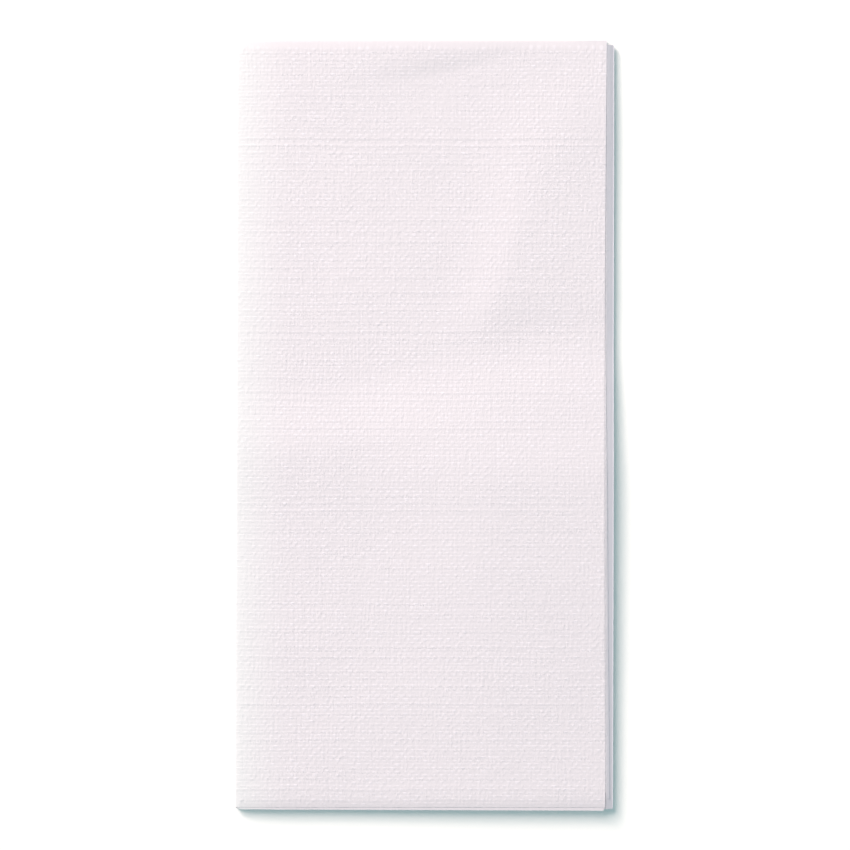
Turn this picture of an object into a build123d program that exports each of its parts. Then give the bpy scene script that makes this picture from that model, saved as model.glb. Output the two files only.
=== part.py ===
"""Paper dinner napkin, one embossed sheet folded to an eighth and lying flat.

The sheet is folded in quarters lengthwise first, which rolls it into a flat spiral of four layers:
the top panel runs from its free edge to the left fold, round it to the lowest panel, back at the
right fold to the third panel, and round the left fold again to the second panel, whose free edge
lies inside. The spiral is then folded in half across its length, so eight layers lie on each other
and all of them turn round the cross fold.
The sheet is two plies pressed together, and they part only at the end of the top panel.

+X points from the left fold to the right fold, +Y from the free ends to the cross fold, and +Z up.
The origin is on the table, under the middle of the folded outline.
"""

import os

from build123d import *

# Driving dimensions, in millimetres
sheet_thickness = 0.5  # both plies of the embossed sheet as it lies, not pressed
layer_gap = 0.1  # air between neighbouring layers
folded_width = 99.7  # from the left fold to the right fold
folded_length = 203.2  # from the cross fold to the longest free end
top_panel_setback = 2.4  # free edge of the top panel, inside the right fold
second_panel_setback = 3.1  # free edge of the second panel, inside the right fold, at the cross fold
second_panel_skew = 2.1  # how far that free edge has swung out at its free end
second_panel_rise = 2.4  # how far its lower right corner has drawn up
ply_overhang = 0.9  # lower ply of the top panel, past the upper ply, at the right corner
ply_overhang_left = 0.6  # the same at the left fold
ply_corner = 0.5  # how far the lower ply's right corner is cut back

# The layers of the upper leaf, as heights above the middle plane of the cross fold
pitch = sheet_thickness + layer_gap
lowest_layer = pitch / 2
third_layer = lowest_layer + pitch
second_layer = third_layer + pitch
top_layer = second_layer + pitch
middle_z = top_layer + sheet_thickness / 2

# The folds: a tight one between neighbouring layers, and the loose left fold that goes round it
tight_radius = pitch / 2
loose_radius = (top_layer - lowest_layer) / 2
left_bend_x = -folded_width / 2 + sheet_thickness / 2 + loose_radius
right_bend_x = folded_width / 2 - sheet_thickness / 2 - tight_radius
cross_fold_y = folded_length / 2 - middle_z
free_end_y = -folded_length / 2 + ply_overhang
leaf_length = cross_fold_y - free_end_y

# The free edges, all on the right
top_edge_x = folded_width / 2 - top_panel_setback
second_edge_x = folded_width / 2 - second_panel_setback

with BuildPart() as napkin:
    # Section of the upper leaf, drawn along the middle of the sheet
    with BuildSketch(Plane((0, cross_fold_y, middle_z), x_dir=(1, 0, 0), z_dir=(0, -1, 0))) as section:
        with BuildLine():
            top_panel = Line((top_edge_x, top_layer), (left_bend_x, top_layer))
            JernArc(top_panel @ 1, top_panel % 1, loose_radius, 180)
            lowest_panel = Line((left_bend_x, lowest_layer), (right_bend_x, lowest_layer))
            JernArc(lowest_panel @ 1, lowest_panel % 1, tight_radius, 180)
            third_panel = Line((right_bend_x, third_layer), (left_bend_x, third_layer))
            JernArc(third_panel @ 1, third_panel % 1, tight_radius, -180)
            Line((left_bend_x, second_layer), (second_edge_x, second_layer))
        trace(line_width=sheet_thickness)
    # Two leaves, joined by the turn of every layer round the cross fold
    extrude(amount=leaf_length)
    mirror(about=Plane.XY.offset(middle_z))
    cross_fold = Axis((0, cross_fold_y, middle_z), (-1, 0, 0))
    revolve(section.sketch, axis=cross_fold, revolution_arc=180)

    # The second panel lies crooked: its free edge swings out towards the free end
    second_panel_z = middle_z + second_layer
    with BuildSketch(Plane.XY.offset(second_panel_z - sheet_thickness / 2)):
        with BuildLine():
            Polyline(
                (second_edge_x, cross_fold_y),
                (second_edge_x, free_end_y),
                (second_edge_x + second_panel_skew, free_end_y),
                close=True,
            )
        make_face()
    extrude(amount=sheet_thickness)
    # and its end draws up towards that edge
    with BuildSketch(Plane.XY.offset(second_panel_z - pitch / 2)):
        with BuildLine():
            Polyline(
                (left_bend_x, free_end_y),
                (folded_width / 2, free_end_y),
                (folded_width / 2, free_end_y + second_panel_rise),
                close=True,
            )
        make_face()
    extrude(amount=pitch, mode=Mode.SUBTRACT)

    # The lower ply of the top panel reaches past the upper one, with its right corner cut back
    with BuildSketch(Plane.XY.offset(middle_z + top_layer - sheet_thickness / 2)):
        with BuildLine():
            Polyline(
                (left_bend_x, free_end_y),
                (left_bend_x, free_end_y - ply_overhang_left),
                (top_edge_x - ply_corner, free_end_y - ply_overhang),
                (top_edge_x, free_end_y),
                close=True,
            )
        make_face()
    extrude(amount=sheet_thickness / 2)

napkin.part.label = "napkin"
os.makedirs("parts", exist_ok=True)
export_step(napkin.part, "parts/napkin.step")
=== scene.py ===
"""Paper dinner napkin, folded to an eighth, lying on a white floor and seen from straight above.

The napkin is one closed mesh. Its section is the lengthwise fold, a flat spiral of four layers, and the
section is swept along the upper leaf, round the cross fold and back along the lower leaf. The stack then
settles: its folds are pressed, its top lies in soft waves, and the top panel carries the ribs of the
linen emboss. Lengths are in millimetres until the mesh is made.
"""

import math
from types import SimpleNamespace

import bpy
import numpy as np
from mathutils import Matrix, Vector


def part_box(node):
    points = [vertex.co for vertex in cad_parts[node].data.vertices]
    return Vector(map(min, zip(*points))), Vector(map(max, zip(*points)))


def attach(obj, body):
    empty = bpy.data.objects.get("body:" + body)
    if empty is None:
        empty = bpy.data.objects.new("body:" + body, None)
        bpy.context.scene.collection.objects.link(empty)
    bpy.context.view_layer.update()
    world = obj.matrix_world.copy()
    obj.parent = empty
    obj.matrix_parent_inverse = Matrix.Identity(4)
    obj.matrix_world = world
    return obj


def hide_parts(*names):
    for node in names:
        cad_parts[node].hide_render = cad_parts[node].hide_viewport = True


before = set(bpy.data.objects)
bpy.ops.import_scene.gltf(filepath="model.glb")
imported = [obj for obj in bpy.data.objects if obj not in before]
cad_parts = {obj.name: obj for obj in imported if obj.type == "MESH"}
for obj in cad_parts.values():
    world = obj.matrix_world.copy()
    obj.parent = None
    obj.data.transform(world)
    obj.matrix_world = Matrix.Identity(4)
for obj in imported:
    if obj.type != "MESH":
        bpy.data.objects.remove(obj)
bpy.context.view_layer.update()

MM = 0.001
TAU = 2 * math.pi

# The folded outline, from the solid
node_low, node_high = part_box("napkin")
FOLDED_WIDTH = (node_high.x - node_low.x) / MM
FOLDED_LENGTH = (node_high.y - node_low.y) / MM
HEIGHT = (node_high.z - node_low.z) / MM
RIGHT_X = FOLDED_WIDTH / 2
TOP_Y = FOLDED_LENGTH / 2

# The sheet and its free edges, as the solid has them
SHEET_THICKNESS = 0.5
TOP_PANEL_SETBACK = 2.4
SECOND_PANEL_SETBACK = 3.1
SECOND_PANEL_SKEW = 2.1
SECOND_PANEL_RISE = 2.4
PLY_OVERHANG = 0.9
PLY_OVERHANG_LEFT = 0.6
PLY_CORNER = 0.5
OVERHANG_FADE = 0.5  # how far before the left fold the overhang begins to go back
PLY_STEP = 0.06  # how far the lower ply shows along every other edge
PLY_SEAM = 0.13  # height of the seam between the plies, above the middle of the sheet
PLY_EDGE = 0.11  # thickness of the upper ply at its free end, once the stack has settled
PLY_DROOP = 0.102  # how far the lower ply's free end hangs down below that

# Eight layers share the height, four above the middle plane and four below
LAYERS = 8
PITCH = (HEIGHT - SHEET_THICKNESS) / (LAYERS - 1)
LOWEST_LAYER = PITCH / 2
THIRD_LAYER = LOWEST_LAYER + PITCH
SECOND_LAYER = THIRD_LAYER + PITCH
TOP_LAYER = SECOND_LAYER + PITCH
MIDDLE_Z = HEIGHT / 2

TIGHT_RADIUS = PITCH / 2
LOOSE_RADIUS = (TOP_LAYER - LOWEST_LAYER) / 2
LEFT_BEND_X = -RIGHT_X + SHEET_THICKNESS / 2 + LOOSE_RADIUS
RIGHT_BEND_X = RIGHT_X - SHEET_THICKNESS / 2 - TIGHT_RADIUS
TOP_EDGE_X = RIGHT_X - TOP_PANEL_SETBACK
SECOND_EDGE_X = RIGHT_X - SECOND_PANEL_SETBACK
CROSS_FOLD_Y = TOP_Y - MIDDLE_Z
FREE_END_Y = -TOP_Y + PLY_OVERHANG
LEAF_LENGTH = CROSS_FOLD_Y - FREE_END_Y

# How finely the band is divided
TOP_PANEL_STEPS = 72
TOP_PANEL_EASE = 0.6  # columns lie closer towards both edges of the top panel
WIDE_STEPS, EDGE_STEPS, STRIP_STEPS = 11, 10, 12  # of an inner panel, closer and closer to its right end
PANEL_STEPS = WIDE_STEPS + EDGE_STEPS + STRIP_STEPS
EDGE_COLUMNS, STRIP_COLUMNS = 17.0, 2.6  # how far from that end the closer ones begin
LEFT_BEND_STEPS = 10
RIGHT_BEND_STEPS = 12
INNER_BEND_STEPS = 6
LEAF_ROWS = 53
FOLD_ROWS = 10
LOWER_ROWS = 27

# The linen emboss: ribs in the mesh of the top panel, and threads, streaks and fibre in the bump
RIBS_PER_ROW = 4
STEPS_PER_RIB = 4
FINE_ROWS = RIBS_PER_ROW * STEPS_PER_RIB
RIB_PITCH = LEAF_LENGTH / (LEAF_ROWS * RIBS_PER_ROW)
RIB_HEIGHT = 0.015
RIB_LEVELS = 2.4  # how much higher or lower whole ribs lie, in halves of that height
LEVEL_NEIGHBOURS = 3  # ribs whose mean level is taken off, so that no broad bands form
RIB_UNEVENNESS, RIB_STRETCH = 0.5, 70.0  # how far a rib's height wanders, and over what length
RIB_APART = 57.3  # keeps the wandering of neighbouring ribs apart
RIB_THINNING = 0.5  # share of the ribs that is lost on the thin layers along the right edge
ROW_JITTER = 0.04  # how unevenly the ribs are spaced, as a share of their pitch
RIB_LEAN = 0.5  # ribs, threads and fibre are steeper towards the cross fold and the left fold
THREAD_LEAN = 0.85
GRAIN_LEAN = 0.5
WARP_PITCH = 1.022
WARP_SHARE = 0.5  # height of the warp threads, as a share of the weft threads' height
WARP_WANDER, WANDER_SIZE = 1.1, (6, 14)  # how far they stray, in pitches, and over what lengths
WEFT_UNEVENNESS, WEFT_STRETCH = 0.8, 3  # how far a thread's height wanders, and over what length
WEFT_APART = 7.31  # keeps the unevenness of neighbouring weft threads apart
WARP_UNEVENNESS, WARP_PATCH = 0.7, (1.3, 5)
WEAVE_UNEVENNESS, WEAVE_PATCH = 0.3, (4.0, 4.0)
WEAVE_HEIGHT = 0.046
WEAVE_CRESTS = (0.4, 1.1)  # from where to where the weave's height counts as a crest, which is painted whiter as a highlight
STREAK_HEIGHT, STREAK_SIZE = 0.042, (0.9, 12)
GRAIN_HEIGHT, GRAIN_SIZE = 0.105, (0.75, 1.15)
GRAIN_DETAIL = 1.0
ACROSS_STRAY, ACROSS_STRAY_LENGTH = 0.15, 30  # how far all threads wander, and over what length
ALONG_STRAY, ALONG_STRAY_LENGTH = 0.12, 40

# How the stack lies: its outline, its folds and the layers at its right edge
LEAN = 0.002  # the outline leans to the right towards the cross fold
TOP_EDGE_BOW = 0.44  # the top panel's free edge is slightly hollow
TOP_EDGE_MIDDLE = -0.11  # where that leaves the middle of the edge
FOLD_SQUARENESS = 0.2  # 1 is a round cross fold, and less a squarer one
LEFT_SQUARENESS = 0.46  # the same for the left fold
EDGE_LAYERS = 3  # upper layers that are thinned along the right edge
EDGE_LAYER = 0.05  # their thickness there, and that of the air between them
EDGE_START, EDGE_FULL = 34.0, 46.0  # where they begin to thin, and where they are thinnest
STRIP_DROP = 0.27  # share of its height that the inner fold loses at the right
STRIP_DROP_GAIN = 0.03  # more of it at the cross fold, and less at the free end
STRIP_LEVEL = 0.89  # share of the strip over which it drops, before the fold's rim
STRIP_SOFTNESS = 0.25  # share over which the drop begins
SECOND_DROP = 0.83  # the second panel drops a little less
INNER_REACH = 0.4  # how far the inner layers' ends have slid out under the top panel
INNER_END_DROP, INNER_END_WIDTH = 0.04, 8  # share of their height that those ends lose, and how far in

# Share of its height that the stack loses: all over, along the left fold, and at both ends
PRESS = 0.33
LEFT_PRESS, LEFT_PRESS_WIDTH = 0.2, 13
LEFT_PRESS_GAIN = 0.05  # more of it at the cross fold, and less at the free end
LEFT_EASED, EASED_Y, EASED_WIDTH = 0.5, 4, 16  # a stretch of the left fold is pressed less
LEFT_RIM_PRESS, LEFT_RIM_WIDTH = 0.025, 4.0
FOLD_PRESS, FOLD_PRESS_WIDTH = 0.02, 4.0
END_PRESS, END_PRESS_WIDTH = 0.06, 4.5

# The broad step from the pressed end up to the loose free end
STEP_Y, STEP_SKEW, STEP_TURN = 19, 9, 25  # where it begins, nearer to the cross fold at the right
STEP_WIDTH, STEP_WIDENING = 20, 5
STEP_HEIGHT, STEP_TILT, STEP_RIGHT_GAIN = 1.05, 0.35, 0.1
STEP_RIGHT = (-18, 24)  # x over which the right side's share of it sets in
SECOND_STEP_HEIGHT, SECOND_STEP_Y = 0.75, (-16, 7)
SAG_DEPTH, SAG_Y = 1.0, (-104, -24)  # the right side sags again towards the free end
SWELL_HEIGHT, SWELL_LEFT_GAIN, SWELL_LEFT = 0.2, 0.2, (-5, 25)  # a low swell on top of the step
SWELL_Y, SWELL_SLANT, SWELL_BELOW, SWELL_ABOVE = -12, -0.087, 13, 16

# The crease that runs down from the cross fold: a point of its crest, its slant and its two sides
CREASE_X, CREASE_Y, CREASE_SLANT = 17.7, 30.4, 0.28
CREASE_HEIGHT, CREASE_CLIMB, CREASE_FALL = 0.85, 15, 20
CREASE_BLUR = (-1.5, 0.0, 1.5)  # shifts that are averaged, so that its crest is soft
CREASE_SOFT_Y, CREASE_SPREAD = (48, 78), 2.5  # it gets softer towards the cross fold
CREASE_HOLLOW, CREASE_FILLED = 1.7, 0.5  # how hollow its climb is, and how much less where it is softer
CREASE_BEYOND = 0.5  # share of its height that stays to the right of it
CREASE_FOOT, CREASE_HEAD = (14, 36), (74, 102)  # y over which it sets in, and over which it ends

# The crushed hollow beside the cross fold, the lift of the springy fold, and the waves all over
DENT_DEPTH, DENT_X, DENT_WIDTH = 0.36, 3, 19
DENT_Y, DENT_SLANT, DENT_CURVE = 91.4, 0.16, 0.004
DENT_BELOW, DENT_ABOVE = 17, 3.5
FOLD_LIFT, FOLD_LIFT_Y, FOLD_LIFT_WIDTH = 1.1, (55, 120), 38
WAVE_HEIGHT, WAVE_LENGTH = 0.03, 26
RIPPLE_HEIGHT, RIPPLE_LENGTH = 0.005, 8
RIPPLE_SPREAD = (0.7, 1.5)  # shortest and longest of the waves that add up, as shares of that length

# Where the emboss is flattened, and how far
FOLD_CRUSH, FOLD_CRUSH_WIDTH = 0.85, (1.0, 3.0)
END_CRUSH, END_CRUSH_WIDTH = 0.85, 2.2
STRIP_CRUSH = 0.8
LOOSE_CRUSH, LOOSE_X, LOOSE_Y = 0.12, (-40, 0), (-20, 30)
DENT_CRUSH = 0.4
CRUSH_LOSS = 0.85  # share of the bump that is lost where it is flattened most

# Colours and finish, with painted highlight and painted shade
PAPER_SHADES = (0.89, 0.82, 0.854, 1), (0.898, 0.827, 0.86, 1)
# the weave's crests are whiter: partly the paper's own, partly painted highlight
CREST_WHITE_AND_HIGHLIGHT = (0.98, 0.908, 0.956, 1)
# painted highlight along the left fold, which faces the lamps
FOLD_HIGHLIGHT = (0.895, 0.878, 0.886, 1)
# painted shade: a cooler tint for the strip of inner layers along the right edge, in the top panel's
# shade
STRIP_SHADE_TINT = (0.888, 0.842, 0.9, 1)
FOLD_HIGHLIGHT_WIDTH = 17  # how far the left fold's painted highlight reaches
STRIP_SHADE_WIDTH = (1.3, 2.4)  # how far from the right edge the strip's painted shade tint begins to fade, and ends
CLOUD_SIZE, CLOUD_DETAIL, CLOUD_RANGE = (16, 22), 3.0, (0.3, 0.7)
ROUGHNESS, ROUGHNESS_SPREAD = 0.76, 0.2
FIBRE_SIZE, FIBRE_DETAIL = (0.5, 0.5), 2.0
PAPER_GLOSS = 0.2
SHARP_ANGLE = 40  # edges that turn by more degrees than this are sharp

# Seeds of what is uneven
WAVE_SEED, RIPPLE_SEED = 11, 12
ACROSS_SEED, ALONG_SEED, JITTER_SEED = 21, 22, 23
RIB_SEED, LEVEL_SEED = 31, 32

# The map for baked textures: left, bottom, right and top of each chart
TOP_CHART = (0.005, 0.005, 0.475, 0.995)
UNDER_CHART = (0.485, 0.225, 0.86, 0.995)
LEFT_CHART = (0.868, 0.225, 0.884, 0.995)
INNER_CHART = (0.892, 0.225, 0.995, 0.995)
BACK_CHART = (0.485, 0.03, 0.995, 0.215)
RIM_CHART = (0.485, 0.005, 0.995, 0.02)

# Names of the mesh's two maps and of its three values a point
SHEET_MAP = "SheetFlat"
BAKE_MAP = "OFBake"
CRUSH = "crushed"
# the next name carries the painted highlight along the left fold
FOLD_HIGHLIGHT_NAME = "painted_fold_highlight"
# the next name carries the painted shade on the right strip
STRIP_SHADE_NAME = "strip_shade_and_crush"

# Floor and light
FLOOR_HALF, FLOOR_DROP = 2.0, 0.02 * MM  # half of its width, and how far it lies under the napkin
FLOOR_COLOUR = (1.0, 0.91, 0.9, 1)
GLOW_COLOUR, GLOW = (0.6, 1.0, 0.95, 1), 0.19  # of the floor, for the eye alone
LAMP_COLOUR, LAMP_HEADING = (1.0, 0.899, 0.854), 130
FILL_COLOUR, FILL = (0.59, 0.89, 1.0, 1), 0.297

# Camera, straight above
CAMERA_HEIGHT = 1.2
VIEW_WIDTH = 0.2239  # metres across the picture at the top of the napkin
VIEW_CENTRE = (0.00007, 0.00007)
SENSOR = 36.0


def eased_columns(start_x, end_x, steps):
    """Columns that lie closer together towards both ends."""
    share = np.linspace(0, 1, steps + 1)
    return start_x + (end_x - start_x) * (share - TOP_PANEL_EASE * np.sin(TAU * share) / TAU)


def inner_columns(right_x):
    """Columns of an inner panel from the left bend, with the last of them close together."""
    edge_x, strip_x = right_x - EDGE_COLUMNS, right_x - STRIP_COLUMNS
    wide = np.linspace(LEFT_BEND_X, edge_x, WIDE_STEPS + 1)
    edge = np.linspace(edge_x, strip_x, EDGE_STEPS + 1)
    return np.concatenate([wide, edge[1:], np.linspace(strip_x, right_x, STRIP_STEPS + 1)[1:]])


def panel(x, height):
    """A flat run of the section: x, height and the direction of the outer side, one row a point."""
    outer = math.copysign(1, x[0] - x[-1])
    return np.column_stack([x, np.full_like(x, height), np.zeros_like(x), np.full_like(x, outer)])


def squared(wave, squareness):
    """A sine or cosine that turns a circle into a squarer curve."""
    return np.sign(wave) * np.abs(wave) ** squareness


def bend(x, height, radius, start, end, outer, steps, squareness=1.0):
    """A half turn of the section about (x, height), from one angle in degrees to another."""
    angle = np.radians(np.linspace(start, end, steps + 1))
    across, up = squared(np.cos(angle), squareness), squared(np.sin(angle), squareness)
    return np.column_stack([x + radius * across, height + radius * up, outer * across, outer * up])


def spiral_section():
    """The middle of the sheet across the upper leaf, from the top panel's edge to the second panel's."""
    left_height = (TOP_LAYER + LOWEST_LAYER) / 2
    right_height = (LOWEST_LAYER + THIRD_LAYER) / 2
    inner_height = (THIRD_LAYER + SECOND_LAYER) / 2
    runs = [
        panel(eased_columns(TOP_EDGE_X, LEFT_BEND_X, TOP_PANEL_STEPS), TOP_LAYER),
        bend(LEFT_BEND_X, left_height, LOOSE_RADIUS, 90, 270, 1, LEFT_BEND_STEPS, LEFT_SQUARENESS),
        panel(inner_columns(RIGHT_BEND_X), LOWEST_LAYER),
        bend(RIGHT_BEND_X, right_height, TIGHT_RADIUS, -90, 90, 1, RIGHT_BEND_STEPS),
        panel(inner_columns(RIGHT_BEND_X)[::-1], THIRD_LAYER),
        bend(LEFT_BEND_X, inner_height, TIGHT_RADIUS, 270, 90, -1, INNER_BEND_STEPS),
        panel(inner_columns(SECOND_EDGE_X), SECOND_LAYER),
    ]
    points = np.concatenate([runs[0]] + [run[1:] for run in runs[1:]])
    steps = np.hypot(*np.diff(points[:, :2], axis=0).T)
    x = points[:, 0]
    column = np.arange(len(points))
    on_top = column <= TOP_PANEL_STEPS
    on_second = column >= len(points) - 1 - PANEL_STEPS
    second_share = np.where(on_second, (x - LEFT_BEND_X) / (SECOND_EDGE_X - LEFT_BEND_X), 0)
    return SimpleNamespace(
        x=x,
        height=points[:, 1],
        outer_x=points[:, 2],
        outer_height=points[:, 3],
        length=np.concatenate([[0], np.cumsum(steps)]),
        top_share=np.where(on_top, (x - LEFT_BEND_X) / (TOP_EDGE_X - LEFT_BEND_X), 0),
        second_share=second_share,
        inner_share=np.clip((column - TOP_PANEL_STEPS) / LEFT_BEND_STEPS, 0, 1) - second_share,
    )


def sweep_rows():
    """The section's way: distance back from the cross fold, turn about it, and length along the sheet."""
    upper = np.linspace(LEAF_LENGTH, 0, LEAF_ROWS + 1)
    turn = np.linspace(0, math.pi, FOLD_ROWS + 1)[1:]
    lower = np.linspace(0, LEAF_LENGTH, LOWER_ROWS + 1)[1:]
    fold_length = TOP_LAYER * math.pi
    return SimpleNamespace(
        back=np.concatenate([upper, np.zeros(FOLD_ROWS), lower]),
        turn=np.concatenate([np.zeros(LEAF_ROWS + 1), turn, np.full(LOWER_ROWS, math.pi)]),
        length=np.concatenate(
            [LEAF_LENGTH - upper, LEAF_LENGTH + TOP_LAYER * turn, LEAF_LENGTH + fold_length + lower]
        ),
    )


def fine_rows():
    """The upper leaf's rows again, divided for the ribs."""
    back = np.linspace(LEAF_LENGTH, 0, LEAF_ROWS * FINE_ROWS + 1)
    return SimpleNamespace(back=back, turn=np.zeros_like(back), length=LEAF_LENGTH - back)


def top_edge_bow(y):
    """How far the top panel's free edge lies out of its straight line."""
    return TOP_EDGE_BOW * (y / TOP_Y) ** 2 + TOP_EDGE_MIDDLE


def swept(section, rows, offset):
    """Points of one side of the sheet, offset from its middle, as arrays of columns by rows."""
    x = (section.x + offset * section.outer_x)[:, None]
    height = (section.height + offset * section.outer_height)[:, None]
    upper = np.where(rows.turn == 0, rows.back / LEAF_LENGTH, 0)
    crook = section.second_share[:, None] * upper
    forward = height * squared(np.sin(rows.turn), FOLD_SQUARENESS)
    y = CROSS_FOLD_Y - rows.back + forward + SECOND_PANEL_RISE * crook
    y = y - INNER_REACH * section.inner_share[:, None] * upper
    z = MIDDLE_Z + height * squared(np.cos(rows.turn), FOLD_SQUARENESS)
    x = x + SECOND_PANEL_SKEW * crook + top_edge_bow(y) * section.top_share[:, None]
    return np.stack([x, y, z], axis=-1)


def ripples(x, y, seed, wavelength, count=9):
    """Smooth unevenness, mostly between -1 and 1: plane waves in seeded directions."""
    draw = np.random.default_rng(seed)
    total = np.zeros_like(x)
    for _ in range(count):
        heading, phase = draw.uniform(0, TAU, 2)
        length = wavelength * draw.uniform(*RIPPLE_SPREAD)
        total += np.sin(TAU * (x * math.cos(heading) + y * math.sin(heading)) / length + phase)
    return total / math.sqrt(count)


def bell(distance, width):
    """One at no distance, falling off on both sides."""
    return np.exp(-((distance / width) ** 2))


def lopsided(distance, width_below, width_above):
    """A bell with a different width on each side."""
    return bell(distance, np.where(distance < 0, width_below, width_above))


def roll_off(distance, width):
    """One at an edge, falling to nothing at that width from it."""
    return np.clip(1 - distance / width, 0, 1) ** 2


def ease(value, start, end):
    """Rises smoothly from 0 to 1 between two values."""
    share = np.clip((value - start) / (end - start), 0, 1)
    return share * share * (3 - 2 * share)


def dent_by_fold(x, y):
    """The crushed hollow beside the cross fold: steep towards the fold, and shallow away from it."""
    deepest_y = DENT_Y + DENT_SLANT * x + DENT_CURVE * x**2
    return bell(x - DENT_X, DENT_WIDTH) * lopsided(y - deepest_y, DENT_BELOW, DENT_ABOVE)


def shoulder(x, y):
    """The loose free end stands higher than the pressed end, with a broad step between them."""
    side = np.tanh(x / STEP_TURN)
    at_right = ease(x, *STEP_RIGHT)
    pressed_y = STEP_Y + STEP_SKEW * side
    loose_y = pressed_y - STEP_WIDTH - STEP_WIDENING * at_right
    height = STEP_HEIGHT + STEP_TILT * side + STEP_RIGHT_GAIN * at_right
    step = (1 - ease(y, loose_y, pressed_y)) * height
    second_step = SECOND_STEP_HEIGHT * at_right * (1 - ease(y, *SECOND_STEP_Y))
    swell = SWELL_HEIGHT + SWELL_LEFT_GAIN * (1 - ease(x, *SWELL_LEFT))
    swell = swell * lopsided(y - SWELL_Y - SWELL_SLANT * x, SWELL_BELOW, SWELL_ABOVE)
    sag = SAG_DEPTH * at_right * (1 - ease(y, *SAG_Y))
    return step + second_step + swell - sag


def slanted_ridge(x, y):
    """A crease that runs down from the cross fold: it climbs from the left and falls off slowly."""
    crest_x = CREASE_X + CREASE_SLANT * (y - CREASE_Y)
    softer = ease(y, *CREASE_SOFT_Y)
    height = np.zeros_like(x)
    for shift in CREASE_BLUR:
        away = x - crest_x - shift * (1 + CREASE_SPREAD * softer)
        climb = np.clip(1 + away / CREASE_CLIMB, 0, 1) ** (CREASE_HOLLOW - CREASE_FILLED * softer)
        fall = CREASE_BEYOND + (1 - CREASE_BEYOND) * bell(away, CREASE_FALL)
        height += np.where(away < 0, climb, fall) / len(CREASE_BLUR)
    return CREASE_HEIGHT * height * ease(y, *CREASE_FOOT) * (1 - ease(y, *CREASE_HEAD))


def springy_fold(x, y):
    """The stack thickens towards the cross fold, most of all in its middle."""
    return FOLD_LIFT * ease(y, *FOLD_LIFT_Y) * bell(x, FOLD_LIFT_WIDTH)


def soft_lift(x, y):
    """What the loose top of the stack gains or loses in height."""
    waves = WAVE_HEIGHT * ripples(x, y, WAVE_SEED, WAVE_LENGTH)
    waves += RIPPLE_HEIGHT * ripples(x, y, RIPPLE_SEED, RIPPLE_LENGTH)
    dent = DENT_DEPTH * dent_by_fold(x, y)
    return shoulder(x, y) + slanted_ridge(x, y) + springy_fold(x, y) - dent + waves


def pressed(x, y):
    """Share of its height that the stack loses, most of all at its folds and free ends."""
    from_left = x + RIGHT_X
    eased = 1 - LEFT_EASED * bell(y - EASED_Y, EASED_WIDTH)
    left = (LEFT_PRESS + LEFT_PRESS_GAIN * y / TOP_Y) * eased * roll_off(from_left, LEFT_PRESS_WIDTH)
    left += LEFT_RIM_PRESS * roll_off(from_left, LEFT_RIM_WIDTH)
    fold = FOLD_PRESS * roll_off(TOP_Y - y, FOLD_PRESS_WIDTH)
    end = END_PRESS * roll_off(y - FREE_END_Y, END_PRESS_WIDTH)
    return PRESS + left + fold + end


def thin_at_right(x, z):
    """Presses the upper layers together along the right edge, over the springy fold below them."""
    below_top = [PITCH * layer + side for layer in range(EDGE_LAYERS) for side in (0, SHEET_THICKNESS)]
    sides = [0, *(HEIGHT - np.array(below_top[::-1]))]
    pressed_sides = [0, *(HEIGHT - EDGE_LAYER * np.arange(len(below_top))[::-1])]
    return z + (np.interp(z, sides, pressed_sides) - z) * ease(x, EDGE_START, EDGE_FULL)


def settle(points):
    """Lets the stack down into its soft shape, with every layer following the ones below."""
    x, y, z = points[..., 0], points[..., 1], points[..., 2]
    share = 1 - pressed(x, y) + soft_lift(x, y) / HEIGHT
    strip_width = RIGHT_X - TOP_EDGE_X - top_edge_bow(y)
    across_strip = np.clip((1 - (RIGHT_X - x) / strip_width) / STRIP_LEVEL, 0, 1)
    drop = (STRIP_DROP + STRIP_DROP_GAIN * y / TOP_Y) * across_strip**2 / (across_strip + STRIP_SOFTNESS)
    over_third = z > MIDDLE_Z + SECOND_LAYER - PITCH / 2
    over_second = z > MIDDLE_Z + TOP_LAYER - PITCH / 2
    drop = drop * np.where(over_third, SECOND_DROP, 1)
    drop = drop + INNER_END_DROP * roll_off(y - FREE_END_Y, INNER_END_WIDTH)
    share = share - np.where(over_second, 0, drop)
    return np.stack([x + LEAN * y, y, thin_at_right(x, z) * share], axis=-1)


def strip_shade_and_crush(points):
    """One on the strip of inner layers along the right edge, which gets a painted shade tint and a
    flattened emboss, and 0 elsewhere.
    """
    return 1 - ease(RIGHT_X - points[..., 0], *STRIP_SHADE_WIDTH)


def crushed(points):
    """How far the emboss is flattened, from 0 to 1."""
    x, y = points[..., 0], points[..., 1]
    fold = FOLD_CRUSH * (1 - ease(TOP_Y - y, *FOLD_CRUSH_WIDTH))
    end = END_CRUSH * roll_off(y - FREE_END_Y, END_CRUSH_WIDTH)
    strip = STRIP_CRUSH * strip_shade_and_crush(points)
    loose = LOOSE_CRUSH * ease(x, *LOOSE_X) * (1 - ease(y, *LOOSE_Y))
    dent = DENT_CRUSH * dent_by_fold(x, y)
    return np.clip(fold + end + strip + loose + dent, 0, 1)


def painted_fold_highlight(points):
    """Painted highlight: how far the paper is whitened and loses its pink cast, most of all along the
    left fold.
    """
    return roll_off(points[..., 0] + RIGHT_X, FOLD_HIGHLIGHT_WIDTH)


def uneven_rows(length):
    """The length along the sheet again, with the ribs closer here and wider there."""
    rows = np.arange(math.ceil(length.max() / RIB_PITCH) + 1)
    jitter = np.random.default_rng(JITTER_SEED).normal(0, ROW_JITTER, len(rows))
    return length + RIB_PITCH * np.interp(length / RIB_PITCH, rows, jitter)


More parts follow.
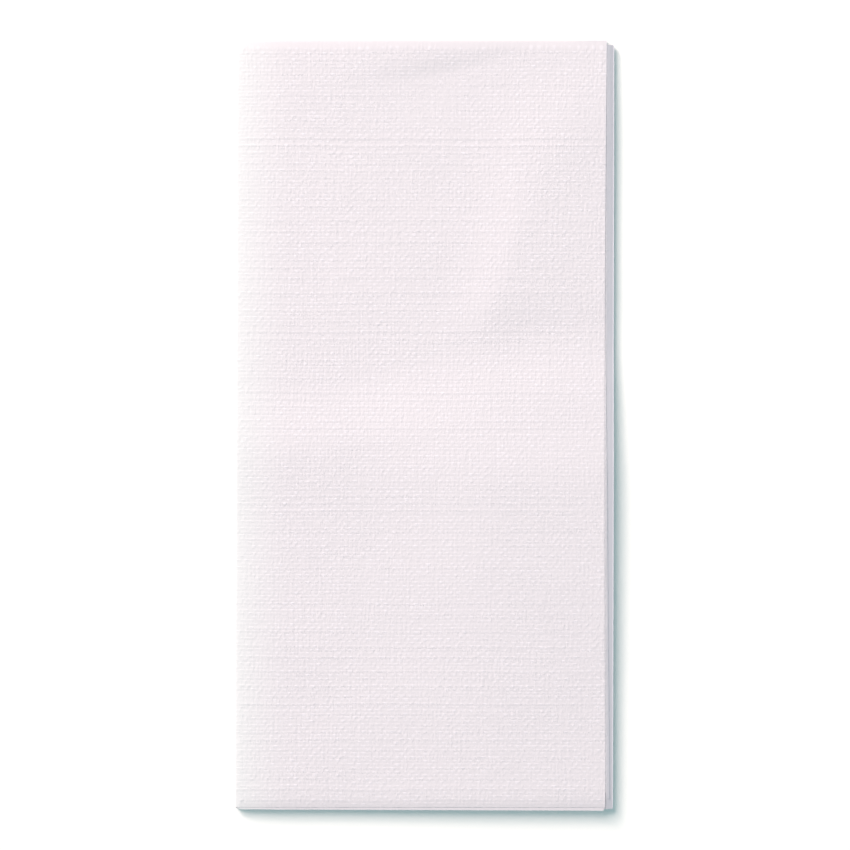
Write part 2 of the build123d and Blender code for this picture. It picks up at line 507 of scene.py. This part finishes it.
def thread_map(points, section, rows):
    """Flat coordinates of the threads on the sheet, which wander a little."""
    x, y = points[..., 0], points[..., 1]
    across = section.length[:, None] + ACROSS_STRAY * ripples(x, y, ACROSS_SEED, ACROSS_STRAY_LENGTH)
    along = uneven_rows(rows.length) + ALONG_STRAY * ripples(x, y, ALONG_SEED, ALONG_STRAY_LENGTH)
    return np.stack([across, along], axis=-1)


def add_ribs(points, threads):
    """Raises the weft ribs of the emboss on the top panel, some stronger and some higher than others."""
    place = threads[..., 1] / RIB_PITCH
    row = np.round(place)
    strength = 1 + RIB_UNEVENNESS * ripples(threads[..., 0], RIB_APART * row, RIB_SEED, RIB_STRETCH)
    ribs = np.arange(-1, LEAF_ROWS * RIBS_PER_ROW + 2)
    level = np.random.default_rng(LEVEL_SEED).normal(0, RIB_LEVELS, len(ribs))
    level -= np.convolve(level, np.full(LEVEL_NEIGHBOURS, 1 / LEVEL_NEIGHBOURS), "same")
    turn = TAU * place
    wave = np.cos(turn - RIB_LEAN * np.cos(turn))
    height = strength * wave + np.interp(place, ribs, level)
    thinned = 1 - RIB_THINNING * ease(points[..., 0], EDGE_START, EDGE_FULL)
    ribbed = points.copy()
    ribbed[..., 2] += RIB_HEIGHT / 2 * height * thinned * (1 - crushed(points))
    return ribbed


class Band:
    """Gathers the points, faces and maps of the closed band."""

    def __init__(self):
        self.points = []
        self.threads = []
        self.count = 0
        self.faces = []
        self.bake = []

    def add_points(self, points, threads):
        """Adds an array of points and returns their numbers in the same shape."""
        shape = points.shape[:-1]
        self.points.append(points.reshape(-1, 3))
        self.threads.append(np.broadcast_to(threads, shape + (2,)).reshape(-1, 2))
        numbers = self.count + np.arange(math.prod(shape)).reshape(shape)
        self.count += numbers.size
        return numbers

    def add_face(self, numbers, chart, spots):
        """Adds a face, with its corners' places in the chart as shares of its sides."""
        left, bottom, right, top = chart
        self.faces.append([int(n) for n in numbers])
        self.bake.extend((left + (right - left) * a, bottom + (top - bottom) * b) for a, b in spots)


def step_plies(inner, section):
    """Moves the border of the sheet's inner side out, so that the lower ply shows past the upper one."""
    inner[0, :, 0] += PLY_STEP
    inner[-1, :, 0] += PLY_STEP
    inner[:, -1, 1] -= PLY_STEP
    overhang = PLY_OVERHANG_LEFT + (PLY_OVERHANG - PLY_OVERHANG_LEFT) * section.top_share
    bend_start = section.length[TOP_PANEL_STEPS]
    overhang *= 1 - ease(section.length, bend_start - OVERHANG_FADE, bend_start + LOOSE_RADIUS)
    inner[:, 0, 1] -= np.maximum(overhang, PLY_STEP)
    inner[0, 0, 0] -= PLY_CORNER + PLY_STEP


def hang_plies(end_z, upper_rim, lower_rim, inner):
    """Lets the lower ply hang below the upper one at the top panel's free end, both of some thickness."""
    end = np.s_[: TOP_PANEL_STEPS + 1, 0, 2]
    upper_rim[end] = end_z - PLY_EDGE
    lower_rim[end] = end_z - PLY_EDGE - PLY_DROOP
    inner[end] = np.minimum(inner[end] - PLY_DROOP, lower_rim[end] - PLY_EDGE / 2)


def outer_chart(column, row, length, last_row):
    """The chart of an outer cell, the columns' places across it and the rows at its two ends."""
    bend_start, bend_end = TOP_PANEL_STEPS, TOP_PANEL_STEPS + LEFT_BEND_STEPS
    if column < bend_start and row < LEAF_ROWS:
        return TOP_CHART, length / length[bend_start], 0, LEAF_ROWS
    if column < bend_end and row >= LEAF_ROWS:
        return UNDER_CHART, length / length[bend_end], LEAF_ROWS, last_row
    if column < bend_end:
        across_bend = (length - length[bend_start]) / (length[bend_end] - length[bend_start])
        return LEFT_CHART, across_bend, 0, LEAF_ROWS
    last_column = len(length) - 1
    return INNER_CHART, (np.arange(len(length)) - bend_end) / (last_column - bend_end), 0, last_row


def add_sides(band, length, inner_numbers, outer_chain):
    """Adds the cells of the sheet's outer side and of its inner side."""
    last_column, last_row = inner_numbers.shape[0] - 1, inner_numbers.shape[1] - 1
    for column in range(last_column):
        for row in range(last_row):
            chart, across, first, last = outer_chart(column, row, length, last_row)
            near, near_rows = outer_chain(column, row)
            far, far_rows = outer_chain(column + 1, row)
            near_spots = [(across[column], (place - first) / (last - first)) for place in near_rows]
            far_spots = [(across[column + 1], (place - first) / (last - first)) for place in far_rows]
            if len(near) == len(far):
                for step in range(len(near) - 1):
                    band.add_face(
                        [near[step], near[step + 1], far[step + 1], far[step]],
                        chart,
                        [near_spots[step], near_spots[step + 1], far_spots[step + 1], far_spots[step]],
                    )
            else:
                band.add_face([*near, *far[::-1]], chart, near_spots + far_spots[::-1])
            corners = [(column, row), (column + 1, row), (column + 1, row + 1), (column, row + 1)]
            spots = [(c / last_column, r / last_row) for c, r in corners]
            band.add_face([inner_numbers[corner] for corner in corners], BACK_CHART, spots)


def add_rim(band, levels, outer_chain):
    """Closes the band round its border, from the outer side past both plies to the inner side."""
    columns, row_count = levels[0].shape
    border = [(column, 0) for column in range(columns)]
    border += [(columns - 1, row) for row in range(1, row_count)]
    border += [(column, row_count - 1) for column in range(columns - 2, -1, -1)]
    border += [(0, row) for row in range(row_count - 2, -1, -1)]
    for place, (start, end) in enumerate(zip(border, border[1:])):
        begin, finish = place / (len(border) - 1), (place + 1) / (len(border) - 1)
        for level in range(len(levels) - 1):
            above, below = levels[level], levels[level + 1]
            high, low = level / (len(levels) - 1), (level + 1) / (len(levels) - 1)
            edge = [above[start], above[end]]
            if level == 0 and start[0] == end[0]:
                chain, _ = outer_chain(start[0], min(start[1], end[1]))
                edge = list(chain) if end[1] > start[1] else list(chain[::-1])
            spots = [(begin + (finish - begin) * k / (len(edge) - 1), high) for k in range(len(edge))]
            spots += [(finish, low), (begin, low)]
            band.add_face([*edge, below[end], below[start]], RIM_CHART, spots)


def build_band():
    """The folded sheet as points, faces and maps."""
    section = spiral_section()
    rows = sweep_rows()
    fine = fine_rows()
    half = SHEET_THICKNESS / 2

    outer = swept(section, rows, half)
    upper_rim = swept(section, rows, PLY_SEAM)
    plain_inner = swept(section, rows, -half)
    inner = plain_inner.copy()
    step_plies(inner, section)
    lower_rim = upper_rim + inner - plain_inner
    top_columns = {name: values[: TOP_PANEL_STEPS + 1] for name, values in vars(section).items()}
    top_section = SimpleNamespace(**top_columns)
    top = swept(top_section, fine, half)

    band = Band()
    top_threads = thread_map(top, top_section, fine)
    top_numbers = band.add_points(add_ribs(settle(top), top_threads), top_threads)
    threads = thread_map(upper_rim, section, rows)
    outer_numbers = band.add_points(settle(outer), threads)
    outer_numbers[: TOP_PANEL_STEPS + 1, : LEAF_ROWS + 1] = top_numbers[:, ::FINE_ROWS]
    upper_rim, lower_rim, inner = settle(upper_rim), settle(lower_rim), settle(inner)
    hang_plies(settle(top)[:, 0, 2], upper_rim, lower_rim, inner)
    inner_numbers = band.add_points(inner, threads)
    upper_numbers = band.add_points(upper_rim, threads)
    lower_numbers = band.add_points(lower_rim, threads)

    def outer_chain(column, row):
        """The points from one row to the next on the outer side, and their places between the rows."""
        if column <= TOP_PANEL_STEPS and row < LEAF_ROWS:
            fine_row = row * FINE_ROWS
            steps = np.arange(FINE_ROWS + 1)
            return top_numbers[column, fine_row + steps], row + steps / FINE_ROWS
        return outer_numbers[column, row : row + 2], np.array([row, row + 1.0])

    add_sides(band, section.length, inner_numbers, outer_chain)
    add_rim(band, [outer_numbers, upper_numbers, lower_numbers, inner_numbers], outer_chain)
    return band


def fill_map(mesh, name, values):
    layer = mesh.uv_layers.new(name=name)
    layer.uv.foreach_set("vector", np.asarray(values, np.float32).ravel())


def fill_attribute(mesh, name, values):
    attribute = mesh.attributes.new(name, "FLOAT", "POINT")
    attribute.data.foreach_set("value", values.astype(np.float32))


def make_napkin(material):
    """The napkin as one mesh object, in metres."""
    band = build_band()
    points = np.concatenate(band.points)
    threads = np.concatenate(band.threads)
    used = np.unique(np.concatenate([np.asarray(face) for face in band.faces]))
    number = np.full(len(points), -1)
    number[used] = np.arange(len(used))
    faces = [number[face].tolist() for face in band.faces]
    points, threads = points[used], threads[used]

    mesh = bpy.data.meshes.new("napkin_sheet")
    mesh.from_pydata((points * MM).tolist(), [], faces)
    corners = np.concatenate([np.asarray(face) for face in faces])
    fill_map(mesh, SHEET_MAP, threads[corners])
    fill_map(mesh, BAKE_MAP, band.bake)
    fill_attribute(mesh, CRUSH, crushed(points))
    fill_attribute(mesh, FOLD_HIGHLIGHT_NAME, painted_fold_highlight(points))
    fill_attribute(mesh, STRIP_SHADE_NAME, strip_shade_and_crush(points))
    mesh.shade_smooth()
    mesh.set_sharp_from_angle(angle=math.radians(SHARP_ANGLE))
    mesh.materials.append(material)
    napkin = bpy.data.objects.new("napkin_sheet", mesh)
    bpy.context.scene.collection.objects.link(napkin)
    return napkin


def feed(tree, socket, value):
    """Links a socket to another one, or sets its number."""
    if isinstance(value, bpy.types.NodeSocket):
        tree.links.new(value, socket)
    else:
        socket.default_value = value


def calculate(tree, operation, *values):
    node = tree.nodes.new("ShaderNodeMath")
    node.operation = operation
    for socket, value in zip(node.inputs, values):
        feed(tree, socket, value)
    return node.outputs[0]


def smooth_noise(tree, across, along, detail=0.0):
    """Noise over two coordinates, about 0.5, with features one unit apart."""
    place = tree.nodes.new("ShaderNodeCombineXYZ")
    feed(tree, place.inputs["X"], across)
    feed(tree, place.inputs["Y"], along)
    node = tree.nodes.new("ShaderNodeTexNoise")
    node.noise_dimensions = "2D"
    node.inputs["Scale"].default_value = 1.0
    node.inputs["Detail"].default_value = detail
    tree.links.new(place.outputs["Vector"], node.inputs["Vector"])
    return node.outputs["Fac"]


def sized_noise(tree, across, along, size, detail=0.0):
    """Noise over the sheet, with features of that size across it and along it."""
    wide, long = size
    across = calculate(tree, "DIVIDE", across, wide)
    return smooth_noise(tree, across, calculate(tree, "DIVIDE", along, long), detail)


def step_between(tree, value, low, high):
    """Rises smoothly from 0 to 1 between two values."""
    node = tree.nodes.new("ShaderNodeMapRange")
    node.interpolation_type = "SMOOTHSTEP"
    feed(tree, node.inputs["Value"], value)
    node.inputs["From Min"].default_value = low
    node.inputs["From Max"].default_value = high
    return node.outputs["Result"]


def mix_colours(tree, factor, first, second):
    node = tree.nodes.new("ShaderNodeMix")
    node.data_type = "RGBA"
    colours = [socket for socket in node.inputs if socket.type == "RGBA"]
    feed(tree, node.inputs["Factor"], factor)
    feed(tree, colours[0], first)
    feed(tree, colours[1], second)
    return next(socket for socket in node.outputs if socket.type == "RGBA")


def read_attribute(tree, name):
    node = tree.nodes.new("ShaderNodeAttribute")
    node.attribute_name = name
    return node.outputs["Fac"]


def thread_coordinates(tree):
    """The flat sheet's coordinates in millimetres: across the threads, and along the sheet."""
    flat = tree.nodes.new("ShaderNodeUVMap")
    flat.uv_map = SHEET_MAP
    split = tree.nodes.new("ShaderNodeSeparateXYZ")
    tree.links.new(flat.outputs["UV"], split.inputs["Vector"])
    return split.outputs["X"], split.outputs["Y"]


def linen_weave(tree, across, along):
    """A plain weave of uneven threads, with the weft threads about 1 high."""
    wander = sized_noise(tree, across, along, WANDER_SIZE)
    weft_place = calculate(tree, "DIVIDE", along, RIB_PITCH)
    warp_place = calculate(tree, "DIVIDE", across, WARP_PITCH)
    warp_place = calculate(tree, "MULTIPLY_ADD", wander, WARP_WANDER, warp_place)
    weft_row = calculate(tree, "FLOOR", calculate(tree, "ADD", weft_place, 0.5))
    warp_column = calculate(tree, "FLOOR", calculate(tree, "ADD", warp_place, 0.5))

    def crest(place):
        """One along the middle of each thread, falling to 0 between threads."""
        turn = calculate(tree, "MULTIPLY", place, TAU)
        turn = calculate(tree, "MULTIPLY_ADD", calculate(tree, "COSINE", turn), -THREAD_LEAN, turn)
        return calculate(tree, "MULTIPLY_ADD", calculate(tree, "COSINE", turn), 0.5, 0.5)

    def over(place, crossed, sign):
        """One where this thread lies over the one it crosses, and 0 where it lies under."""
        turn = calculate(tree, "MULTIPLY", calculate(tree, "ADD", place, crossed), math.pi)
        return calculate(tree, "MULTIPLY_ADD", calculate(tree, "COSINE", turn), 0.5 * sign, 0.5)

    def uneven(value, noise, strength):
        """The value times a factor about 1, which follows the noise."""
        factor = calculate(tree, "MULTIPLY_ADD", noise, 2 * strength, 1 - strength)
        return calculate(tree, "MULTIPLY", value, factor)

    weft = calculate(tree, "MULTIPLY", crest(weft_place), over(warp_place, weft_row, 1))
    along_weft = calculate(tree, "DIVIDE", across, WEFT_STRETCH)
    weft_noise = smooth_noise(tree, along_weft, calculate(tree, "MULTIPLY", weft_row, WEFT_APART))
    weft = uneven(weft, weft_noise, WEFT_UNEVENNESS)
    warp = calculate(tree, "MULTIPLY", crest(warp_place), over(weft_place, warp_column, -1))
    warp = uneven(warp, sized_noise(tree, across, along, WARP_PATCH), WARP_UNEVENNESS)
    weave = calculate(tree, "MULTIPLY_ADD", warp, WARP_SHARE, weft)
    weave = uneven(weave, sized_noise(tree, across, along, WEAVE_PATCH), WEAVE_UNEVENNESS)
    return weave


def fibre_grain(tree, across, along):
    """Noise of the loose fibre, steeper on one side."""
    wide, long = GRAIN_SIZE
    across = calculate(tree, "DIVIDE", across, wide)
    along = calculate(tree, "DIVIDE", along, long)
    upright = smooth_noise(tree, across, along, GRAIN_DETAIL)
    across = calculate(tree, "MULTIPLY_ADD", upright, -GRAIN_LEAN, across)
    along = calculate(tree, "MULTIPLY_ADD", upright, -GRAIN_LEAN, along)
    return smooth_noise(tree, across, along, GRAIN_DETAIL)


def linen_height(tree, across, along):
    """The height of the linen emboss in millimetres, and the crests of its weave, where a highlight is
    painted.
    """
    weave = linen_weave(tree, across, along)
    streaks = sized_noise(tree, across, along, STREAK_SIZE)
    grain = fibre_grain(tree, across, along)
    height = calculate(tree, "MULTIPLY", weave, WEAVE_HEIGHT)
    height = calculate(tree, "MULTIPLY_ADD", streaks, STREAK_HEIGHT, height)
    height = calculate(tree, "MULTIPLY_ADD", grain, GRAIN_HEIGHT, height)
    return height, step_between(tree, weave, *WEAVE_CRESTS)


def paper_material():
    """Soft white paper, faintly pink, with the emboss crushed near the folds, painted highlight on the
    weave's crests and along the left fold, and painted shade on the right strip.
    """
    material = bpy.data.materials.new("napkin_paper")
    material.use_nodes = True
    tree = material.node_tree
    shader = tree.nodes["Principled BSDF"]
    shader.inputs["Specular IOR Level"].default_value = PAPER_GLOSS
    across, along = thread_coordinates(tree)
    height, crests = linen_height(tree, across, along)
    kept = calculate(tree, "MULTIPLY_ADD", read_attribute(tree, CRUSH), -CRUSH_LOSS, 1.0)

    clouds = sized_noise(tree, across, along, CLOUD_SIZE, CLOUD_DETAIL)
    tint = mix_colours(tree, step_between(tree, clouds, *CLOUD_RANGE), *PAPER_SHADES)
    # the weave's crests turn whiter: partly the paper's own, partly painted highlight
    tint = mix_colours(tree, calculate(tree, "MULTIPLY", crests, kept), tint, CREST_WHITE_AND_HIGHLIGHT)
    # painted highlight: the paper turns whiter along the left fold
    tint = mix_colours(tree, read_attribute(tree, FOLD_HIGHLIGHT_NAME), tint, FOLD_HIGHLIGHT)
    # painted shade: the strip of inner layers along the right edge gets a cooler tint
    tint = mix_colours(tree, read_attribute(tree, STRIP_SHADE_NAME), tint, STRIP_SHADE_TINT)
    tree.links.new(tint, shader.inputs["Base Color"])

    fibre = sized_noise(tree, across, along, FIBRE_SIZE, FIBRE_DETAIL)
    roughness = calculate(tree, "MULTIPLY_ADD", fibre, ROUGHNESS_SPREAD, ROUGHNESS)
    tree.links.new(roughness, shader.inputs["Roughness"])

    bump = tree.nodes.new("ShaderNodeBump")
    bump.inputs["Distance"].default_value = MM
    bump.inputs["Strength"].default_value = 1.0
    tree.links.new(calculate(tree, "MULTIPLY", height, kept), bump.inputs["Height"])
    tree.links.new(bump.outputs["Normal"], shader.inputs["Normal"])
    return material


def seen_directly(tree):
    """One for the camera's own rays, mirrored and refracted ones too, and 0 for light that bounces."""
    path = tree.nodes.new("ShaderNodeLightPath")
    glossy = calculate(tree, "MAXIMUM", path.outputs["Is Camera Ray"], path.outputs["Is Glossy Ray"])
    return calculate(tree, "MAXIMUM", glossy, path.outputs["Is Transmission Ray"])


def make_floor():
    """A wide pale floor, a little brighter to the eye than its own light makes it."""
    sides = [(-1, -1), (1, -1), (1, 1), (-1, 1)]
    corners = [(x * FLOOR_HALF, y * FLOOR_HALF, -FLOOR_DROP) for x, y in sides]
    mesh = bpy.data.meshes.new("floor")
    mesh.from_pydata(corners, [], [(0, 1, 2, 3)])
    material = bpy.data.materials.new("floor_white")
    material.use_nodes = True
    tree = material.node_tree
    shader = tree.nodes["Principled BSDF"]
    shader.inputs["Base Color"].default_value = FLOOR_COLOUR
    shader.inputs["Roughness"].default_value = 1.0
    shader.inputs["Specular IOR Level"].default_value = 0.0
    shader.inputs["Emission Color"].default_value = GLOW_COLOUR
    glow = calculate(tree, "MULTIPLY", seen_directly(tree), GLOW)
    tree.links.new(glow, shader.inputs["Emission Strength"])
    mesh.materials.append(material)
    floor = bpy.data.objects.new("floor", mesh)
    bpy.context.scene.collection.objects.link(floor)


def soft_lamp(name, elevation, distance, size, share):
    """A disc lamp from the upper left that gives that share of the full light on the floor."""
    heading, rise = math.radians(LAMP_HEADING), math.radians(elevation)
    level = math.cos(rise)
    direction = Vector((math.cos(heading) * level, math.sin(heading) * level, math.sin(rise)))
    data = bpy.data.lights.new(name, "AREA")
    data.shape = "DISK"
    data.size = size
    data.energy = share * math.pi**2 * distance**2 / math.sin(rise)
    data.color = LAMP_COLOUR
    lamp = bpy.data.objects.new(name, data)
    lamp.location = direction * distance
    lamp.rotation_euler = direction.to_track_quat("Z", "Y").to_euler()
    bpy.context.scene.collection.objects.link(lamp)


def make_lights():
    """A large soft lamp and a low raking one, both from the upper left, and an even cool fill."""
    soft_lamp("key", elevation=55, distance=2.8, size=1.7, share=0.61)
    soft_lamp("rake", elevation=33, distance=4.2, size=1.2, share=0.249)

    world = bpy.data.worlds.new("studio")
    world.use_nodes = True
    tree = world.node_tree
    fill = tree.nodes["Background"]
    fill.inputs["Color"].default_value = FILL_COLOUR
    fill.inputs["Strength"].default_value = FILL
    white = tree.nodes.new("ShaderNodeBackground")
    white.inputs["Color"].default_value = (1, 1, 1, 1)
    white.inputs["Strength"].default_value = 1.0
    either = tree.nodes.new("ShaderNodeMixShader")
    tree.links.new(seen_directly(tree), either.inputs["Fac"])
    tree.links.new(fill.outputs["Background"], either.inputs[1])
    tree.links.new(white.outputs["Background"], either.inputs[2])
    tree.links.new(either.outputs["Shader"], tree.nodes["World Output"].inputs["Surface"])
    bpy.context.scene.world = world


def make_camera():
    """The camera, straight above the middle of the picture."""
    camera_data = bpy.data.cameras.new("camera")
    camera_data.sensor_width = SENSOR
    camera_data.lens = SENSOR * (CAMERA_HEIGHT - HEIGHT * MM) / VIEW_WIDTH
    camera = bpy.data.objects.new("camera", camera_data)
    camera.location = (*VIEW_CENTRE, CAMERA_HEIGHT)
    bpy.context.scene.collection.objects.link(camera)
    bpy.context.scene.camera = camera


napkin = make_napkin(paper_material())
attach(napkin, "root")
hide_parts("napkin")

make_floor()
make_lights()
make_camera()
bpy.context.scene.view_settings.view_transform = "Standard"
